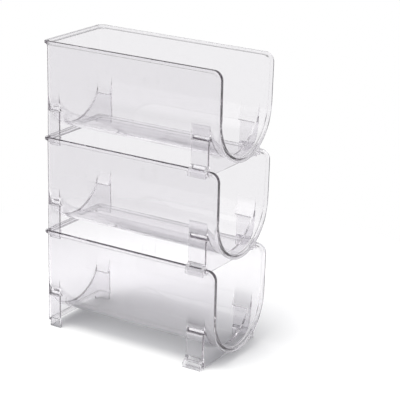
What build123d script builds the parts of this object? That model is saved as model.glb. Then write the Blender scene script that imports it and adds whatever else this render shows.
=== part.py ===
"""Stacking wine rack: three identical clear trays, each one moulding that holds one bottle.

Frame: millimetres, +Z up, origin on the floor under the middle of the stack. X runs across
the trays and Y along them. The open front ends, where the bottle necks come out, face -Y.
"""
import os
from math import cos, hypot, radians, sin, sqrt

from build123d import *

# --- Driving dimensions (mm) ---------------------------------------------------------------

# The trough
tray_length = 203.0        # front face of the lip to rear edge of the rim
tray_height = 103.5        # foot to top of rim
trough_radius = 45.3       # outside of the round bottom
lip_clearance = 7.5        # foot to the lowest point of the front lip
wall = 2.0                 # trough and rear wall
draft = 0.8                # lean of the side walls, degrees, so that the moulding leaves its core
rear_corner = 4.5          # outside radius where the rear wall meets the sides and the bottom

# The rim along the top, and the lip that it turns down into round the open front
rim_reach = 2.5            # how far it stands out from the wall
rim_thickness = 2.6
lip_thickness = 3.4
rim_bend = 9.0             # radius where the rim turns down into the lip
rim_break = 0.4            # broken free edges of the rim and lip
rim_haunch = 2.0           # sloped corner where the rim and lip leave the wall
mouth_break = 0.5          # broken inside edge of the rim and lip

# The legs
leg_wall = 2.0
front_leg_setback = 12.2   # front face of the lip to the front legs
front_leg_width = 20.0     # along the tray
rear_leg_width = 16.0      # along the tray, from the rear wall
web_wall = 2.0             # cross web between the front legs
front_web_lift = 1.5       # foot to the bottom edge of the front web
rear_web_lift = 4.0        # foot to the bottom edge of the rear web
rear_foot_depth = 9.0      # how far the rear feet run inwards below that edge
root_fillet = 2.0          # where a leg leaves the round bottom

# The feet, which straddle or drop inside the rim of the tray below
seat_height = 6.9          # foot to the face that rests on the rim below
seat_gap = 0.2             # running clearance at that face
nest_clearance = 0.3       # side clearance of tongues and skirts round the rim below
tongue_wall = 2.0          # inner leaf of a foot, inside the wall below
skirt_wall = 2.0           # outer leaf of a front foot, outside the rim below
skirt_height = 4.8         # upright face of the skirt
shoulder_height = 11.2     # foot to where the front leg starts to flare out over the rim
joggle_height = 2.0        # thick band where a leg steps in to its tongue
window_length = 14.0       # opening in the flared shoulder, along the tray
window_width = 3.0
window_corner = 1.3
foot_break = 0.5           # broken edges under the feet
channel_break = 0.5        # sloped corner inside the channel, which clears the broken edge of the rim
shoulder_round = 1.0       # rounding of the flare and of the top of the skirt

# The stack
tray_names = ("tray_bottom", "tray_middle", "tray_top")

# --- Derived places ------------------------------------------------------------------------

front = -tray_length / 2
rear = tray_length / 2
rear_face = rear - rim_reach                 # outside of the rear wall
trough_centre = lip_clearance + rim_reach + trough_radius
stack_pitch = tray_height - seat_height + seat_gap
front_leg_start = front + front_leg_setback
front_leg_end = front_leg_start + front_leg_width
rear_leg_start = rear_face - rear_leg_width
overrun = 20.0                               # how far cutting shapes run past what they cut
touch = 0.02                                 # below this, two places are the same
along_edge = (0.1, 0.5, 0.9)                 # where an edge is looked at to see what it follows


def side_at(height, offset=0.0):
    """Half width of the trough's outside at a height, grown by an offset."""
    lean = radians(draft)
    return (trough_radius + offset + (height - trough_centre) * sin(lean)) / cos(lean)


rim_half = side_at(tray_height, rim_reach)                     # outside of the rim
tongue_out = side_at(tray_height, -wall) - nest_clearance      # fits inside the walls below
tongue_in = tongue_out - tongue_wall
tongue_rear = rear_face - wall - nest_clearance
skirt_in = rim_half + nest_clearance                           # fits outside the rim below
skirt_out = skirt_in + skirt_wall


# --- Shapes --------------------------------------------------------------------------------

def along_length(profile, start, end):
    """Carry a profile drawn in X and Z along the tray from start to end."""
    return extrude(Plane.XZ.offset(-end) * profile, end - start)


def trough_profile(offset, top):
    """The U of the trough: a round bottom with straight sides that lean out by the draft."""
    radius = trough_radius + offset
    lean = radians(draft)
    tangent = (radius * cos(lean), trough_centre - radius * sin(lean))
    edge = (side_at(top, offset), top)
    outline = Line((-edge[0], edge[1]), (-tangent[0], tangent[1]))
    outline += ThreePointArc((-tangent[0], tangent[1]), (0, trough_centre - radius), tangent)
    outline += Line(tangent, edge)
    outline += Line(edge, (-edge[0], edge[1]))
    return make_face(outline)


def trough_block(offset, start, end, top, corner):
    """A solid U along the tray, with its rear end rounded where it meets the sides and bottom."""
    block = along_length(trough_profile(offset, top), start, end)
    rear_edges = block.faces().sort_by(Axis.Y)[-1].edges()
    return fillet([edge for edge in rear_edges if edge.center().Z < top - touch], corner)


def side_outline(behind=0.0, below=0.0):
    """Everything behind the front and below the rim, with the bend at the top front corner."""
    start, top, length = front + behind, tray_height - below, tray_length + overrun
    box = Pos(start + length / 2, top - tray_height) * Rectangle(length, 2 * tray_height)
    corner = box.vertices().sort_by(Axis.X)[:2].sort_by(Axis.Y)[-1]
    bent = fillet(corner, rim_bend - (behind + below) / 2)
    return extrude(Plane.YZ * bent, rim_half + overrun, both=True)


def rim():
    """The rim and lip: one flange round the top, bent down and run round the open front."""
    block = trough_block(rim_reach, front, rear, tray_height, rear_corner + rim_reach)
    flange = block & side_outline() - side_outline(lip_thickness, rim_thickness)
    seams = [edge for edge in flange.edges().filter_by(Axis.X) if edge.center().Y < 0]
    free = [edge for edge in flange.edges() if edge not in seams and edge.length > 2 * rim_thickness]
    return chamfer(free, rim_break)


def plan(half_width, back, corner=0.0):
    """Plan outline of the rear legs: open in front, with two rear corners, rounded or square."""
    depth = rear_leg_width + overrun
    box = Pos(0, back - depth / 2) * Rectangle(2 * half_width, depth)
    if corner:
        return fillet(box.vertices().sort_by(Axis.Y)[-2:], corner)
    return box


def upright(outline, bottom, top):
    """Raise a plan outline, keeping what lies behind the front edges of the rear legs."""
    solid = extrude(Pos(0, 0, bottom) * outline, top - bottom)
    return split(solid, Plane.XZ.offset(-rear_leg_start), keep=Keep.BOTTOM)


def root(start, end):
    """Right-hand fillet where the inside of a leg leaves the round bottom."""
    panel_in = trough_radius - leg_wall
    across = panel_in - root_fillet
    drop = sqrt((trough_radius + root_fillet) ** 2 - across ** 2)
    inside_wall = (trough_radius - wall / 2) / (trough_radius + root_fillet)
    wedge = Polyline(
        (across, trough_centre - drop),
        (panel_in + leg_wall / 2, trough_centre - drop),
        (panel_in + leg_wall / 2, trough_centre - leg_wall),
        (across * inside_wall, trough_centre - drop * inside_wall),
        close=True,
    )
    hollow = Pos(across, trough_centre - drop) * Circle(root_fillet + touch)
    return along_length(make_face(wedge) - hollow, start, end)


def rear_legs():
    """Both rear legs and their web: the rear wall carried down, then stepped in to a tongue."""
    outside = plan(trough_radius, rear_face, rear_corner)
    inside = plan(trough_radius - leg_wall, rear_face - leg_wall, rear_corner - leg_wall)
    leaf_outside = plan(tongue_out, tongue_rear, rear_corner - wall)
    leaf_inside = plan(tongue_in, tongue_rear - tongue_wall)
    step_top = seat_height + joggle_height
    legs = upright(outside - inside, seat_height, trough_centre + wall)
    legs += upright(outside - leaf_inside, seat_height, step_top)
    legs += upright(leaf_outside - leaf_inside, 0, seat_height)
    web_gap = 2 * (tongue_out - rear_foot_depth)
    legs -= Pos(0, rear_face, 0) * Box(web_gap, overrun, 2 * rear_web_lift)
    right_root = root(rear_leg_start, rear_face)
    roots = right_root + mirror(right_root, Plane.YZ)
    return legs + (roots & upright(outside, seat_height, trough_centre))


def nearest(section, across, height):
    """Corner of a section that lies nearest to a place."""
    return section.vertices().sort_by_distance((across, height))[0]


def front_leg():
    """Right front leg: a side panel that flares into a channel over the rim below."""
    panel_in = trough_radius - leg_wall
    step_top = seat_height + joggle_height
    outline = Polyline(
        (trough_radius, trough_centre + wall),
        (panel_in, trough_centre + wall),
        (panel_in, step_top + panel_in - tongue_in),
        (tongue_in, step_top),
        (tongue_in, 0),
        (tongue_out, 0),
        (tongue_out, seat_height),
        (skirt_in, seat_height),
        (skirt_in, 0),
        (skirt_out, 0),
        (skirt_out, skirt_height),
        (trough_radius, shoulder_height),
        close=True,
    )
    section = make_face(outline)
    section = chamfer(section.vertices().filter_by_position(Axis.Y, -touch, touch), foot_break)
    section = chamfer(nearest(section, skirt_in, seat_height), channel_break)
    section = fillet(nearest(section, skirt_out, skirt_height), shoulder_round)
    section = fillet(nearest(section, trough_radius, shoulder_height), shoulder_round)
    leg = along_length(section, front_leg_start, front_leg_end)
    leg += root(front_leg_start + web_wall / 2, front_leg_end)
    window = Pos(skirt_in - window_width / 2, front_leg_start + front_leg_width / 2, seat_height)
    slot = RectangleRounded(window_width, window_length, window_corner)
    return leg - window * extrude(slot, overrun)


def front_web():
    """Cross web under the trough at the front edge of the front legs."""
    tall = trough_centre - seat_height
    upper = Pos(0, seat_height + tall / 2) * Rectangle(2 * trough_radius - leg_wall, tall)
    low = seat_height + joggle_height - front_web_lift
    lower = Pos(0, front_web_lift + low / 2) * Rectangle(2 * tongue_out - tongue_wall, low)
    return along_length(upper + lower, front_leg_start, front_leg_start + web_wall)


def ring_edges(body, offset, behind=0.0, below=0.0):
    """Edges that run round the rim and lip, on or inside the trough's surface at an offset."""
    bend = rim_bend - (behind + below) / 2

    def inside(point):
        if point.Y > rear_face + offset + touch:
            return False
        if point.Z > trough_centre:
            return abs(point.X) < side_at(point.Z, offset) + touch
        return hypot(point.X, point.Z - trough_centre) < trough_radius + offset + touch

    def on_outline(point):
        forward = front + behind + bend - point.Y
        upward = point.Z - tray_height + below + bend
        if forward > touch and upward > touch:
            return abs(hypot(forward, upward) - bend) < touch
        return abs(max(forward, upward) - bend) < touch

    return [edge for edge in body.edges()
            if all(inside(edge @ t) and on_outline(edge @ t) for t in along_edge)]


def tray():
    """One tray, standing on the floor."""
    right_leg = front_leg()
    body = trough_block(0, front, rear_face, tray_height, rear_corner) & side_outline()
    body += rear_legs() + front_web() + right_leg + mirror(right_leg, Plane.YZ)
    body += rim()
    body -= trough_block(-wall, front - overrun, rear_face - wall, tray_height + wall,
                         rear_corner - wall)
    body = chamfer(ring_edges(body, 0, lip_thickness, rim_thickness), rim_haunch)
    return chamfer(ring_edges(body, -wall), mouth_break)


# --- Build and export ----------------------------------------------------------------------

os.makedirs("parts", exist_ok=True)
one_tray = tray()
for level, name in enumerate(tray_names):
    export_step(Pos(0, 0, level * stack_pitch) * one_tray, f"parts/{name}.step")
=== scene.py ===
"""Clear stacking wine rack: three alike trays of clear plastic, dressed for a white studio.

Metres, +Z up, in the same frame as the CAD: origin on the floor under the middle of the stack,
X across the trays, Y along them, and the open front ends facing -Y.
"""
from math import cos, radians

import bpy
import numpy as np
from bpy.props import FloatProperty, FloatVectorProperty, PointerProperty
from bpy.types import Operator, Panel, PropertyGroup
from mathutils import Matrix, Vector


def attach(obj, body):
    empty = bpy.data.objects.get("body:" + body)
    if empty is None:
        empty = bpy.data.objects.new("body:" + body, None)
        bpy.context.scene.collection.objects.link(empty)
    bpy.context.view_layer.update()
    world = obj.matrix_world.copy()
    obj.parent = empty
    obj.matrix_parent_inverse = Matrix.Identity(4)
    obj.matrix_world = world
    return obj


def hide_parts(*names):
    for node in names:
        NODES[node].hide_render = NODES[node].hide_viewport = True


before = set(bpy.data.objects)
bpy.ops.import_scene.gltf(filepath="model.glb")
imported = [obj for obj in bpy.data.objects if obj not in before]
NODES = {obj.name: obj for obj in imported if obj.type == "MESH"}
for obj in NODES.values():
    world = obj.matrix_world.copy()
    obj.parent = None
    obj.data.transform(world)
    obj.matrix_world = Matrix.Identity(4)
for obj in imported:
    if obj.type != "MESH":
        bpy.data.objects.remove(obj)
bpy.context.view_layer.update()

bl_info = {
    "name": "Clear stacking wine rack",
    "version": (1, 0, 0),
    "blender": (4, 5, 0),
    "location": "3D Viewport > Sidebar > Wine Rack",
    "description": "Dresses the three clear trays of a stacking wine rack and their studio",
    "category": "Object",
}

# --- What the frame says ----------------------------------------------------------------------

MM = 0.001

# --- Numbers that stay as they are ------------------------------------------------------------

WELD = 1e-6                 # metres; corners of a CAD mesh that are nearer than this are one
FACING_STEPS = 500          # a plane is known by its normal, in steps of 1/500,
HEIGHT_STEPS = 1e5          # and by its height over the origin, in steps of 0.01 mm
TINY = 1e-20                # stands in for the area of a triangle that has none
LONG_PATHS = 160            # bounces that light makes inside a rim before it comes out
FLOOR_HALF = 30.0           # half the floor's width, past any view of it
FADE_ENDS = 3               # the floor is plain white at this many times the shadow's reach
POLYSTYRENE_IOR = 1.59
FLOW_DETAIL = 1.0           # the melt's flow leaves smooth waves, with little on top of them
SCUFF_DETAIL = 2.0          # scuffs are more ragged
SCUFF_STARTS = 0.5          # level of the scuff noise where the polish starts to go,
SCUFF_FULL = 0.8            # and where a patch is fully scuffed
WHITE = "#ffffff"

# Grey of the room by the height that a ray leaves at, 0 level and 1 straight up. The dark band
# low down is what draws the edges of clear plastic, which an all-white room would wash out.
ROOM_GREYS = ((0.0, WHITE), (0.08, WHITE), (0.25, "#898989"), (0.33, "#898989"),
              (0.4, "#e7e7e7"), (0.7, "#e0e0e0"), (1.0, "#e0e0e0"))


# --- Small tools ------------------------------------------------------------------------------

def linear(colour):
    """Turn an sRGB hex colour such as #f4f4f6 to linear red, green, blue and alpha.

    The sRGB curve is straight near black, and above that a power of 2.4 of the shifted level.
    """
    code = colour.lstrip("#")
    levels = np.array([int(code[i:i + 2], 16) for i in (0, 2, 4)]) / 255
    curve = np.where(levels <= 0.04045, levels / 12.92, ((levels + 0.055) / 1.055) ** 2.4)
    return (*curve.tolist(), 1.0)


def add_node(tree, kind, inputs=None, **settings):
    """Add a node; inputs maps a socket's name or number to a value or to another node's output."""
    node = tree.nodes.new(kind)
    for name, value in settings.items():
        setattr(node, name, value)
    for key, value in (inputs or {}).items():
        if isinstance(value, bpy.types.NodeSocket):
            tree.links.new(value, node.inputs[key])
        else:
            node.inputs[key].default_value = value
    return node


def new_tree(owner):
    """Give a material or world an empty node tree."""
    owner.use_nodes = True
    owner.node_tree.nodes.clear()
    return owner.node_tree


def link_object(name, data):
    """Put an object with this data into the scene, at the origin."""
    thing = bpy.data.objects.new(name, data)
    bpy.context.scene.collection.objects.link(thing)
    return thing


# --- Surfaces ---------------------------------------------------------------------------------

def cad_surface(node):
    """Corners and triangles of a CAD node, with the corners that lie together made one."""
    mesh = node.data
    points = np.empty(3 * len(mesh.vertices), np.float32)
    mesh.vertices.foreach_get("co", points)
    points = points.reshape(-1, 3).astype(float)
    corners = np.empty(len(mesh.loops), np.int32)
    mesh.loops.foreach_get("vertex_index", corners)
    places = np.round(points / WELD).astype(np.int64)
    _, first, same = np.unique(places, axis=0, return_index=True, return_inverse=True)
    triangles = same.ravel()[corners].reshape(-1, 3)
    whole = (triangles != np.roll(triangles, 1, axis=1)).all(axis=1)
    return points[first], triangles[whole]


def polished_normals(points, triangles, widest):
    """Normal at each corner of each triangle, so that narrow slopes shine like rounded edges.

    Triangles in one plane make a face. At a corner, the normal is the sum of the normals of the
    faces that meet there and turn from the corner's own face by less than the widest angle, in
    radians, each times the whole area of its face. A broad wall then stays flat up to its edge,
    and the narrow slope or round beside it takes up the whole turn.
    """
    first, second, third = (points[triangles[:, i]] for i in range(3))
    across = np.cross(second - first, third - first)
    area = np.linalg.norm(across, axis=1)
    facing = across / np.maximum(area, TINY)[:, None]
    height = (facing * first).sum(axis=1)
    planes = np.column_stack([np.round(facing * FACING_STEPS), np.round(height * HEIGHT_STEPS)])
    face = np.unique(planes, axis=0, return_inverse=True)[1].ravel()
    face_area = np.bincount(face, weights=area)

    corner = triangles.ravel()
    owner = np.repeat(np.arange(len(triangles)), 3)
    meeting = corner.astype(np.int64) * len(face_area) + face[owner]
    _, again, times = np.unique(meeting, return_inverse=True, return_counts=True)
    weight = face_area[face[owner]] / times[again.ravel()]

    order = np.argsort(corner, kind="stable")
    count = np.bincount(corner)
    start = np.cumsum(count) - count
    around = count[corner[order]]
    own = np.repeat(np.arange(len(order)), around)
    step = np.arange(around.sum()) - np.repeat(np.cumsum(around) - around, around)
    other = start[corner[order][own]] + step
    normal = facing[owner[order]]
    near = (normal[own] * normal[other]).sum(axis=1) > cos(widest)
    pull = normal[other] * weight[order][other][:, None] * near[:, None]
    total = np.column_stack([np.bincount(own, weights=pull[:, i]) for i in range(3)])
    result = np.empty_like(total)
    result[order] = total / np.linalg.norm(total, axis=1)[:, None]
    return result


def mesh_object(name, points, faces, normals=None):
    """Make a smooth mesh object of corners and faces, with its own normals if there are any."""
    mesh = bpy.data.meshes.new(name)
    mesh.from_pydata(points.tolist(), [], faces.tolist())
    mesh.update()
    mesh.polygons.foreach_set("use_smooth", np.ones(len(mesh.polygons), bool))
    if normals is not None:
        mesh.normals_split_custom_set(normals.tolist())
    return link_object(name, mesh)


# --- Materials --------------------------------------------------------------------------------

def clear_polystyrene(look):
    """Clear polystyrene, injection moulded in a polished steel mould.

    Gives the eye walls that are all but colourless face on, mauve-grey edges where light has
    come a long way through the plastic, and highlights that waver with the flow of the melt and
    soften a little where hands and bottles have scuffed it.
    """
    material = bpy.data.materials.new("clear polystyrene, injection moulded and polished")
    tree = new_tree(material)
    place = add_node(tree, "ShaderNodeTexCoord")
    flow = add_node(tree, "ShaderNodeTexNoise", {
        "Vector": place.outputs["Object"], "Scale": 1 / look.flow_pitch,
        "Detail": FLOW_DETAIL})
    bump = add_node(tree, "ShaderNodeBump", {
        "Height": flow.outputs["Fac"], "Distance": look.flow_depth, "Strength": 1.0})
    scuffs = add_node(tree, "ShaderNodeTexNoise", {
        "Vector": place.outputs["Object"], "Scale": 1 / look.scuff_pitch,
        "Detail": SCUFF_DETAIL})
    shine = add_node(tree, "ShaderNodeMapRange", {
        "Value": scuffs.outputs["Fac"], "From Min": SCUFF_STARTS, "From Max": SCUFF_FULL,
        "To Min": look.polish, "To Max": look.scuffed}, interpolation_type="SMOOTHSTEP")
    plastic = add_node(tree, "ShaderNodeBsdfPrincipled", {
        "Base Color": look.colour, "Transmission Weight": 1.0, "IOR": POLYSTYRENE_IOR,
        "Roughness": shine.outputs[0], "Normal": bump.outputs[0]})
    path = add_node(tree, "ShaderNodeLightPath")
    clear = add_node(tree, "ShaderNodeBsdfTransparent", {"Color": look.shadow_colour})
    surface = add_node(tree, "ShaderNodeMixShader", {
        0: path.outputs["Is Shadow Ray"], 1: plastic.outputs[0], 2: clear.outputs[0]})
    tint = add_node(tree, "ShaderNodeVolumeAbsorption", {
        "Color": look.tint, "Density": look.tint_density})
    add_node(tree, "ShaderNodeOutputMaterial", {
        "Surface": surface.outputs[0], "Volume": tint.outputs[0]})
    return material


def seen_through(tree):
    """A value of 1 for camera, glossy and transmission rays, and 0 for the rest."""
    path = add_node(tree, "ShaderNodeLightPath")
    seen = add_node(tree, "ShaderNodeMath", {
        0: path.outputs["Is Camera Ray"], 1: path.outputs["Is Glossy Ray"]}, operation="MAXIMUM")
    seen = add_node(tree, "ShaderNodeMath", {
        0: seen.outputs[0], 1: path.outputs["Is Transmission Ray"]}, operation="MAXIMUM")
    return seen.outputs[0]


def matt_white_board(look):
    """Board, painted matt white.

    Gives the eye a plain white ground that takes the rack's soft grey shadow.
    """
    material = bpy.data.materials.new("board, painted matt white")
    tree = new_tree(material)
    paint = add_node(tree, "ShaderNodeBsdfDiffuse", {"Color": look.floor_colour})
    lift = add_node(tree, "ShaderNodeEmission", {"Strength": look.floor_lift})
    lit = add_node(tree, "ShaderNodeAddShader", {0: paint.outputs[0], 1: lift.outputs[0]})
    place = add_node(tree, "ShaderNodeTexCoord")
    far = add_node(tree, "ShaderNodeVectorMath", {
        0: place.outputs["Object"]}, operation="LENGTH")
    away = add_node(tree, "ShaderNodeMapRange", {
        "Value": far.outputs["Value"], "From Min": look.shadow_reach,
        "From Max": FADE_ENDS * look.shadow_reach}, interpolation_type="SMOOTHSTEP")
    white = add_node(tree, "ShaderNodeEmission", {"Strength": 1.0})
    board = add_node(tree, "ShaderNodeMixShader", {
        0: away.outputs[0], 1: lit.outputs[0], 2: white.outputs[0]})
    both = add_node(tree, "ShaderNodeMixShader", {
        0: seen_through(tree), 1: paint.outputs[0], 2: board.outputs[0]})
    add_node(tree, "ShaderNodeOutputMaterial", {"Surface": both.outputs[0]})
    return material


# --- Room, lamp and camera --------------------------------------------------------------------

def grey_room(look):
    """A room that is grey by height, with a white screen standing on the lamp's side.

    Rays from the camera see plain white. What the plastic bends or mirrors upwards sees the
    room, and what it lets straight through sees the floor, which is white to every such ray.
    """
    world = bpy.data.worlds.new("grey room")
    bpy.context.scene.world = world
    tree = new_tree(world)
    place = add_node(tree, "ShaderNodeTexCoord")
    axes = add_node(tree, "ShaderNodeSeparateXYZ", {0: place.outputs["Generated"]})
    ramp = add_node(tree, "ShaderNodeValToRGB", {0: axes.outputs["Z"]})
    stops = ramp.color_ramp.elements
    stops.remove(stops[1])
    stops[0].position = ROOM_GREYS[0][0]
    stops[0].color = linear(ROOM_GREYS[0][1])
    for height, grey in ROOM_GREYS[1:]:
        stops.new(height).color = linear(grey)
    walls = add_node(tree, "ShaderNodeBackground", {"Color": ramp.outputs[0], "Strength": 1.0})
    facing = add_node(tree, "ShaderNodeVectorMath", {
        0: place.outputs["Generated"], 1: Vector(look.screen_way).normalized()},
        operation="DOT_PRODUCT")
    edge = add_node(tree, "ShaderNodeMapRange", {
        "Value": facing.outputs["Value"], "From Min": cos(look.screen_spread),
        "From Max": cos(look.screen_spread / 2)}, interpolation_type="SMOOTHSTEP")
    screen = add_node(tree, "ShaderNodeBackground", {
        "Color": linear(WHITE), "Strength": look.screen_level})
    room = add_node(tree, "ShaderNodeMixShader", {
        0: edge.outputs[0], 1: walls.outputs[0], 2: screen.outputs[0]})
    path = add_node(tree, "ShaderNodeLightPath")
    white = add_node(tree, "ShaderNodeBackground", {"Color": linear(WHITE), "Strength": 1.0})
    mix = add_node(tree, "ShaderNodeMixShader", {
        0: path.outputs["Is Camera Ray"], 1: room.outputs[0], 2: white.outputs[0]})
    add_node(tree, "ShaderNodeOutputWorld", {"Surface": mix.outputs[0]})


def soft_lamp(look):
    """A round soft lamp above the rack."""
    data = bpy.data.lights.new("soft lamp", "AREA")
    data.shape = "DISK"
    data.size = look.lamp_width
    data.energy = look.lamp_power
    lamp = link_object("soft lamp", data)
    lamp.location = look.lamp_place
    lamp.visible_glossy = False
    lamp.visible_transmission = False


def camera(look):
    """Camera in front of the rack's left side, a little above it, with a long lens."""
    data = bpy.data.cameras.new("camera")
    data.lens = look.lens
    view = link_object("camera", data)
    aim = Vector(look.camera_target) - Vector(look.camera_place)
    view.location = look.camera_place
    view.rotation_euler = aim.to_track_quat("-Z", "Y").to_euler()
    view.rotation_euler.rotate_axis("Z", look.camera_roll)
    bpy.context.scene.camera = view


# --- Settings that a user would change --------------------------------------------------------

class TrayLook(PropertyGroup):
    """Finish of the clear trays"""
    colour: FloatVectorProperty(
        name="Colour", description="Colour that light takes on through a polished face",
        default=linear("#f2f1f3"), size=4, subtype="COLOR", min=0, max=1)
    tint: FloatVectorProperty(
        name="Tint", description="Colour that light takes on deep inside the plastic",
        default=linear("#cdc8ce"), size=4, subtype="COLOR", min=0, max=1)
    shadow_colour: FloatVectorProperty(
        name="Shadow colour", description="What is left of the lamp's light past one face",
        default=linear("#dddde0"), size=4, subtype="COLOR", min=0, max=1)
    widest_turn: FloatProperty(
        name="Widest rounded turn", description="Steeper turns between faces stay sharp edges",
        default=radians(52), subtype="ANGLE")
    flow_pitch: FloatProperty(
        name="Flow pitch", description="Distance between the soft waves that moulding leaves",
        default=26 * MM, subtype="DISTANCE")
    flow_depth: FloatProperty(
        name="Flow depth", description="Height of the soft waves that moulding leaves",
        default=0.05 * MM, subtype="DISTANCE")
    polish: FloatProperty(
        name="Polish", description="Roughness where the mould's polish is untouched",
        default=0.004, subtype="FACTOR")
    scuff_pitch: FloatProperty(
        name="Scuff pitch", description="Distance between the patches that use has scuffed",
        default=9 * MM, subtype="DISTANCE")
    scuffed: FloatProperty(
        name="Scuffed", description="Roughness in the middle of a scuffed patch",
        default=0.05, subtype="FACTOR")
    tint_density: FloatProperty(
        name="Tint density", description="How fast the plastic takes on its tint, per metre",
        default=16.0)


class StageLook(PropertyGroup):
    """Floor, room, lamp and camera"""
    floor_colour: FloatVectorProperty(
        name="Floor colour", description="Colour of the floor's matt paint",
        default=linear("#f0f0f0"), size=4, subtype="COLOR", min=0, max=1)
    floor_lift: FloatProperty(
        name="Floor lift", description="White added to the floor as it is seen, over its paint",
        default=0.16, subtype="FACTOR")
    shadow_reach: FloatProperty(
        name="Shadow reach", description="Past this distance the floor fades to plain white",
        default=0.14, subtype="DISTANCE")
    lamp_place: FloatVectorProperty(
        name="Lamp place", description="Where the soft lamp hangs",
        default=(-0.33, 0.08, 1.35), subtype="TRANSLATION")
    lamp_width: FloatProperty(
        name="Lamp width", description="Width of the round soft lamp",
        default=0.7, subtype="DISTANCE")
    lamp_power: FloatProperty(
        name="Lamp power", description="Power of the soft lamp",
        default=13.0, subtype="POWER")
    screen_way: FloatVectorProperty(
        name="Screen way", description="Which way the middle of the white screen stands",
        default=(-0.85, 0.35, 0.4), subtype="DIRECTION")
    screen_spread: FloatProperty(
        name="Screen spread", description="Angle from the middle of the screen to its soft edge",
        default=radians(42), subtype="ANGLE")
    screen_level: FloatProperty(
        name="Screen level", description="Brightness of the screen, where 1 is white",
        default=1.5, subtype="FACTOR")
    camera_place: FloatVectorProperty(
        name="Camera place", description="Where the camera stands",
        default=(-1.2196, -0.8072, 0.6361), subtype="TRANSLATION")
    camera_target: FloatVectorProperty(
        name="Camera target", description="Point that the camera looks at",
        default=(0.0236, -0.0381, 0.1437), subtype="TRANSLATION")
    camera_roll: FloatProperty(
        name="Camera roll", description="How far the camera is turned about its line of sight",
        default=radians(1.57), subtype="ANGLE")
    lens: FloatProperty(
        name="Lens", description="Focal length in millimetres, on a 36 mm sensor",
        default=140.9, unit="CAMERA")


# --- Operators --------------------------------------------------------------------------------

class WINERACK_OT_trays(Operator):
    """Dress every tray in clear polystyrene"""
    bl_idname = "winerack.trays"
    bl_label = "Trays"

    def execute(self, context):
        look = context.scene.winerack_trays
        plastic = clear_polystyrene(look)
        for name, node in NODES.items():
            points, triangles = cad_surface(node)
            normals = polished_normals(points, triangles, look.widest_turn)
            piece = mesh_object(f"{name}_clear", points, triangles, normals)
            piece.data.materials.append(plastic)
            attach(piece, name)
            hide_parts(name)
        return {"FINISHED"}


class WINERACK_OT_stage(Operator):
    """Set up the floor, the grey room with its white screen, the lamp and the camera"""
    bl_idname = "winerack.stage"
    bl_label = "Stage"

    def execute(self, context):
        look = context.scene.winerack_stage
        corners = FLOOR_HALF * np.array([(-1, -1, 0), (1, -1, 0), (1, 1, 0), (-1, 1, 0)])
        floor = mesh_object("floor", corners, np.array([(0, 1, 2, 3)]))
        floor.data.materials.append(matt_white_board(look))
        grey_room(look)
        soft_lamp(look)
        camera(look)
        return {"FINISHED"}


# --- Panel and registration -------------------------------------------------------------------

class WINERACK_PT_panel(Panel):
    """Lists the rack's operators and settings"""
    bl_label = "Wine Rack"
    bl_idname = "WINERACK_PT_panel"
    bl_space_type = "VIEW_3D"
    bl_region_type = "UI"
    bl_category = "Wine Rack"

    def draw(self, context):
        """Draw each group's settings, with its operator below them."""
        for group, operator in (("winerack_trays", WINERACK_OT_trays),
                                ("winerack_stage", WINERACK_OT_stage)):
            box = self.layout.box()
            look = getattr(context.scene, group)
            for name in look.__annotations__:
                box.prop(look, name)
            box.operator(operator.bl_idname)


CLASSES = (TrayLook, StageLook, WINERACK_OT_trays, WINERACK_OT_stage, WINERACK_PT_panel)


def register():
    """Add the classes, and give each scene the two groups of settings."""
    for item in CLASSES:
        bpy.utils.register_class(item)
    bpy.types.Scene.winerack_trays = PointerProperty(type=TrayLook)
    bpy.types.Scene.winerack_stage = PointerProperty(type=StageLook)


def unregister():
    """Take away what register added, in the opposite order."""
    del bpy.types.Scene.winerack_stage
    del bpy.types.Scene.winerack_trays
    for item in reversed(CLASSES):
        bpy.utils.unregister_class(item)


def main():
    """Register the add-on, make every piece and the stage, and set the view and the render's
    bounces.
    """
    register()
    bpy.ops.winerack.trays()
    bpy.ops.winerack.stage()
    scene = bpy.context.scene
    scene.view_settings.view_transform = "Standard"
    scene.cycles.max_bounces = LONG_PATHS
    scene.cycles.transmission_bounces = LONG_PATHS
    scene.cycles.transparent_max_bounces = LONG_PATHS
    scene.cycles.glossy_bounces = LONG_PATHS
    scene.cycles.caustics_reflective = False
    scene.cycles.caustics_refractive = False


if __name__ == "__main__":
    main()
